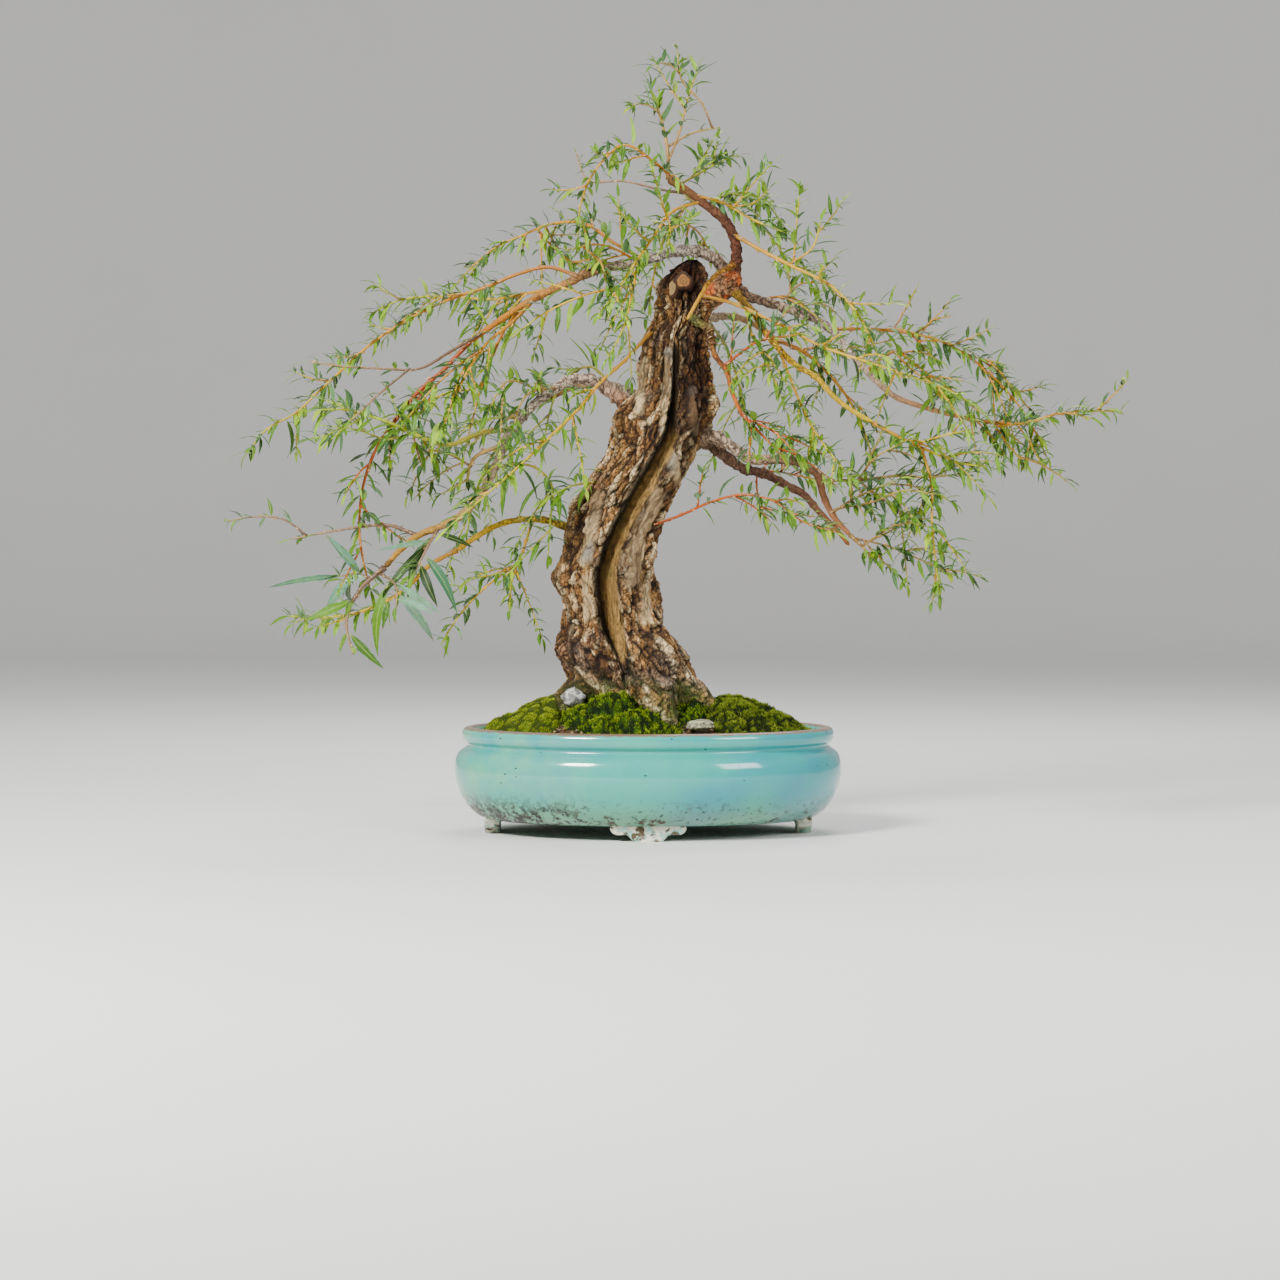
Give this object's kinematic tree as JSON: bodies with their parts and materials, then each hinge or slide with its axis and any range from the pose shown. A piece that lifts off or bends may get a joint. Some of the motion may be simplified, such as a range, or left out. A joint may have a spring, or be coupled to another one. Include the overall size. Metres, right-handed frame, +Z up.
{
  "type": "weeping willow bonsai",
  "caption": "Weeping willow bonsai with a leaning hollow trunk and drooping leafy shoots, growing from mossy soil in an oval glazed pot on four feet.",
  "frame": {"origin": "middle of the whole part seen from above, on the surface that it stands on", "axes": "+X to the right along the pot's long side, +Y to the back, +Z up"},
  "size_m": [0.8996, 0.4158, 0.7847],
  "materials": {
    "pot_glaze": "glossy pale turquoise glaze with dark specks",
    "screen": "black moulded mesh",
    "soil": "dark crumbly soil and duff",
    "moss_left": "smooth yellow-green cushion moss",
    "moss_middle": "coarse bright green moss",
    "moss_right": "dark olive moss",
    "stone": "rough pale grey with lichen",
    "bark": "rough ochre and grey bark",
    "wire": "brown anodised",
    "foliage": "green willow leaves on yellow and orange stems"
  },
  "bodies": {
    "root": {"pot": "pot_glaze", "drain_screen_left": "screen", "drain_screen_right": "screen", "soil": "soil", "moss_left": "moss_left", "moss_middle": "moss_middle", "moss_right": "moss_right", "stone_grey": "stone", "stone_pale": "stone", "trunk": "bark", "training_wire": "wire", "shoot_top": "foliage", "shoot_top_right": "foliage", "shoot_top_middle": "foliage", "shoot_top_back": "foliage", "shoot_arch_top": "foliage", "shoot_bare_left": "foliage", "shoot_front_fall": "foliage", "shoot_back_fall": "foliage", "shoot_spread_left": "foliage", "shoot_spread_inner": "foliage", "shoot_long_left": "foliage", "shoot_yellow_left": "foliage", "shoot_orange_left": "foliage", "shoot_hang_left": "foliage", "shoot_brown_left": "foliage", "shoot_red_fall": "foliage", "shoot_curtain_left": "foliage", "shoot_orange_fall": "foliage", "shoot_low_rise": "foliage", "shoot_low_drop": "foliage", "shoot_trunk_twig": "foliage", "shoot_mid_left": "foliage", "shoot_mid_fork": "foliage", "shoot_far_left": "foliage", "shoot_low_left_tip": "foliage", "shoot_low_left_mid": "foliage", "shoot_yellow_low": "foliage", "shoot_low_hang": "foliage", "shoot_back_left": "foliage", "shoot_back_left_inner": "foliage", "shoot_back_right": "foliage", "shoot_back_right_inner": "foliage", "shoot_upper_right": "foliage", "shoot_inner_right": "foliage", "shoot_high_right": "foliage", "shoot_yellow_long": "foliage", "shoot_wired_side": "foliage", "shoot_front_hang": "foliage", "shoot_long_fall": "foliage", "shoot_right_fan": "foliage", "shoot_right_tip": "foliage", "shoot_right_low": "foliage", "shoot_yellow_tip": "foliage", "shoot_right_under": "foliage", "shoot_inner_low": "foliage", "shoot_low_right_tip": "foliage", "shoot_red_low": "foliage", "shoot_wired_tip": "foliage"}
  },
  "joints": []
}
